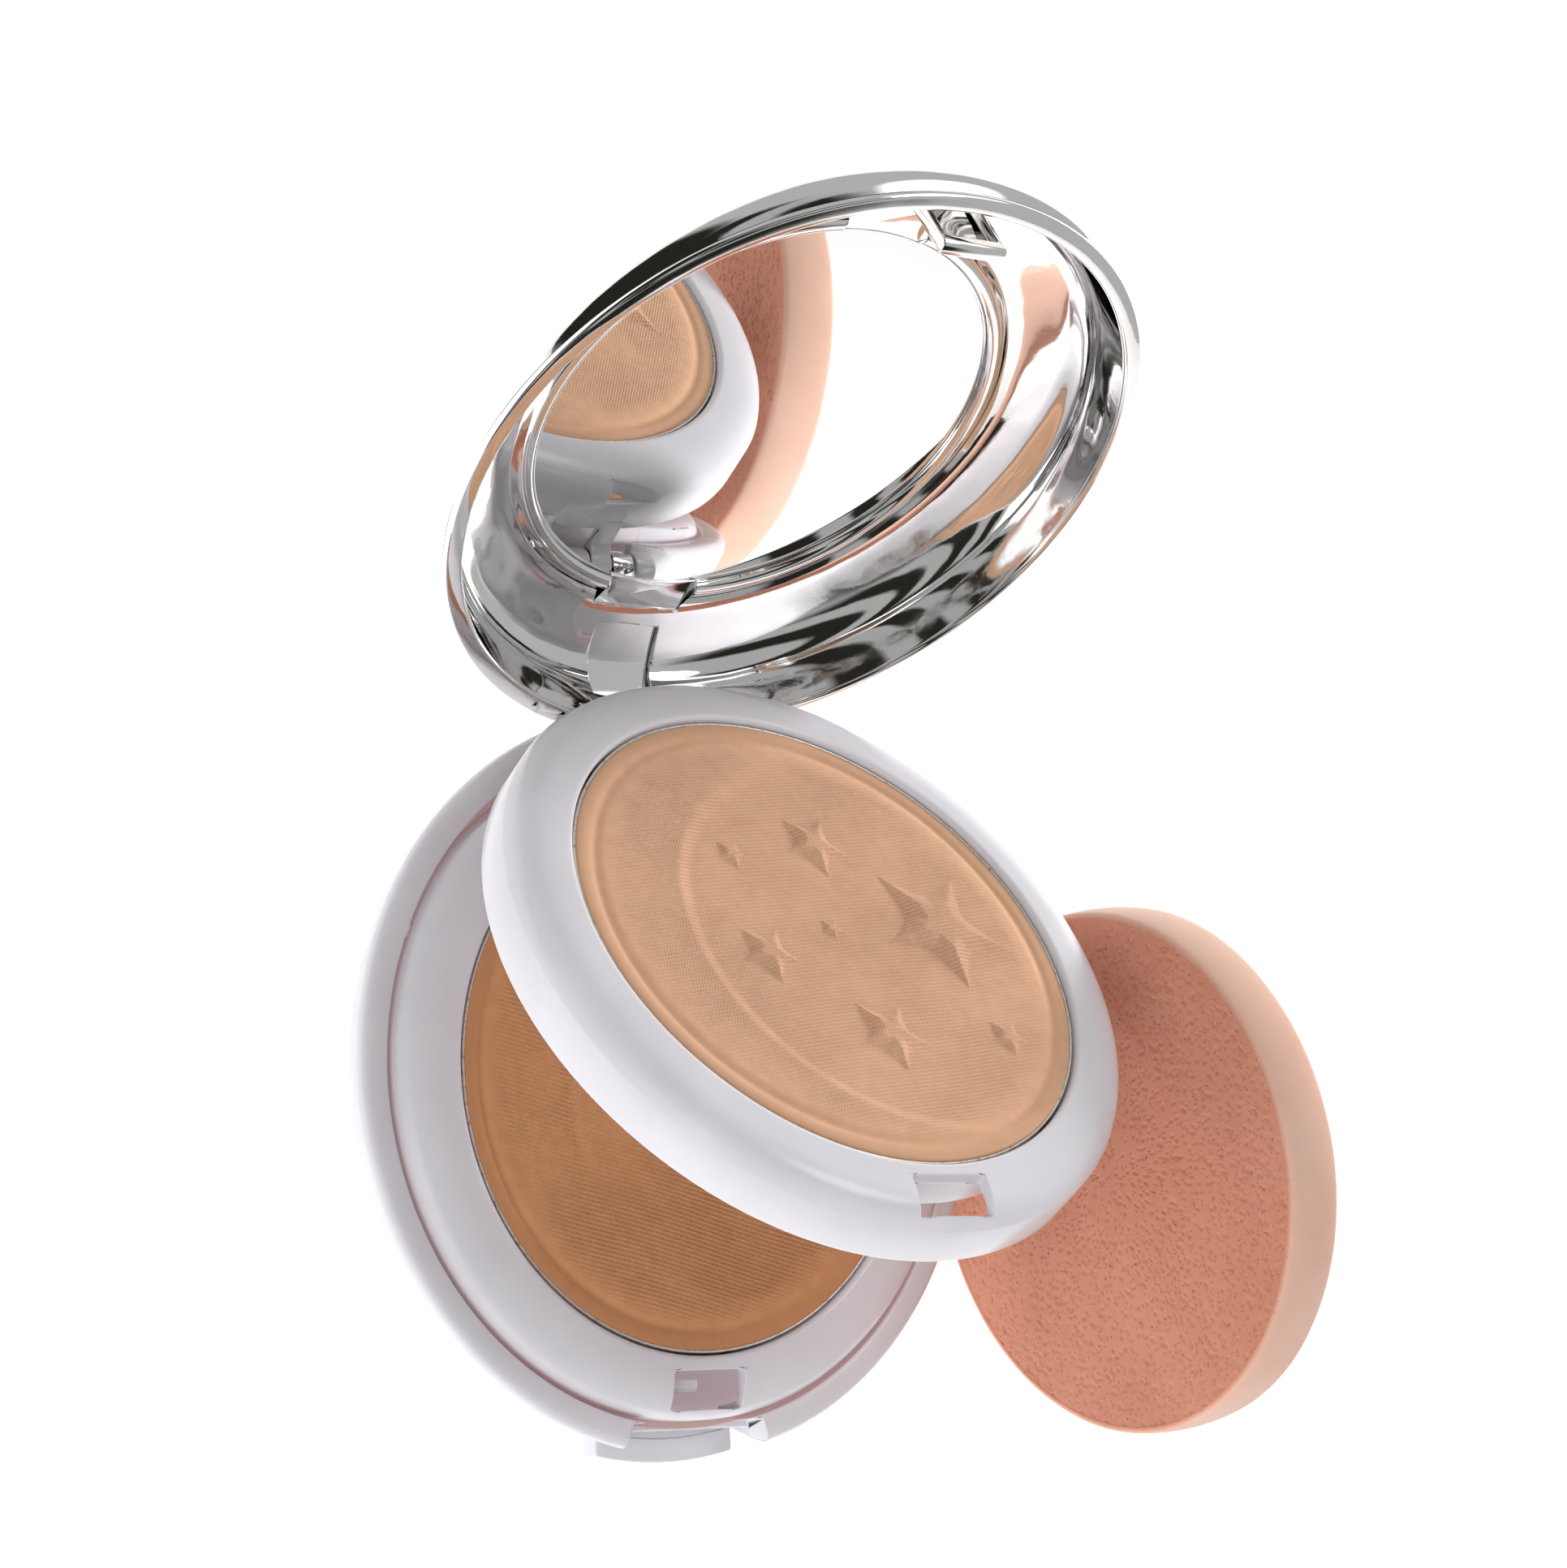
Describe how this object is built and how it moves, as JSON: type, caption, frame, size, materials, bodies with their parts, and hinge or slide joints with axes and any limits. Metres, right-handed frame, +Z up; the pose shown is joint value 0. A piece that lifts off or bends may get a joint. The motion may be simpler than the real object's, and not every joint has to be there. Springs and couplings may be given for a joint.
{
  "type": "powder compact",
  "caption": "Round three-tier makeup compact with hinged mirror lid, two hinged trays of pressed powder, a puff well in the base and a loose round puff.",
  "frame": {"origin": "centre of the base's flat underside", "axes": "+Z up out of the base, +Y towards the hinge, the latch and thumb recess at -Y"},
  "size_m": [0.0938, 0.127, 0.0705],
  "materials": {
    "white_plastic": "gloss",
    "chrome_plastic": "polished",
    "mirror_glass": "polished",
    "pan_tin": "satin",
    "light_powder": "matte",
    "dark_powder": "matte",
    "glue": "satin",
    "pin_steel": "satin",
    "label_paper": "satin",
    "puff_foam": "matte"
  },
  "bodies": {
    "base": {"base_shell": "white_plastic", "base_catch": "white_plastic", "base_label": "label_paper", "hinge_pin": "pin_steel"},
    "lower_leaf": {"lower_tray": "white_plastic", "lower_pan": "pan_tin", "lower_powder": "dark_powder", "lower_pan_glue": "glue"},
    "upper_leaf": {"upper_tray": "white_plastic", "upper_pan": "pan_tin", "upper_powder": "light_powder", "upper_pan_glue": "glue"},
    "lid": {"lid_shell": "chrome_plastic", "lid_frame": "chrome_plastic", "lid_hook": "chrome_plastic", "mirror": "mirror_glass", "mirror_pad": "glue"},
    "puff": {"puff": "puff_foam"}
  },
  "joints": [
    {"name": "lower_tray_hinge", "type": "hinge", "parent": "base", "child": "lower_leaf", "pos_m": [0, 0.0368, 0.0085], "axis": [-1, 0, 0], "range_deg": [0, 16]},
    {"name": "upper_tray_hinge", "type": "hinge", "parent": "lower_leaf", "child": "upper_leaf", "pos_m": [0, 0.0368, 0.0085], "axis": [-1, 0, 0], "range_deg": [-32, 0]},
    {"name": "lid_hinge", "type": "hinge", "parent": "upper_leaf", "child": "lid", "pos_m": [0, 0.0368, 0.0085], "axis": [-1, 0, 0], "range_deg": [-91, 0]},
    {"name": "puff_lift", "type": "slide", "parent": "base", "child": "puff", "axis": [0, 0, 1], "range_m": [0, 0.09]}
  ]
}
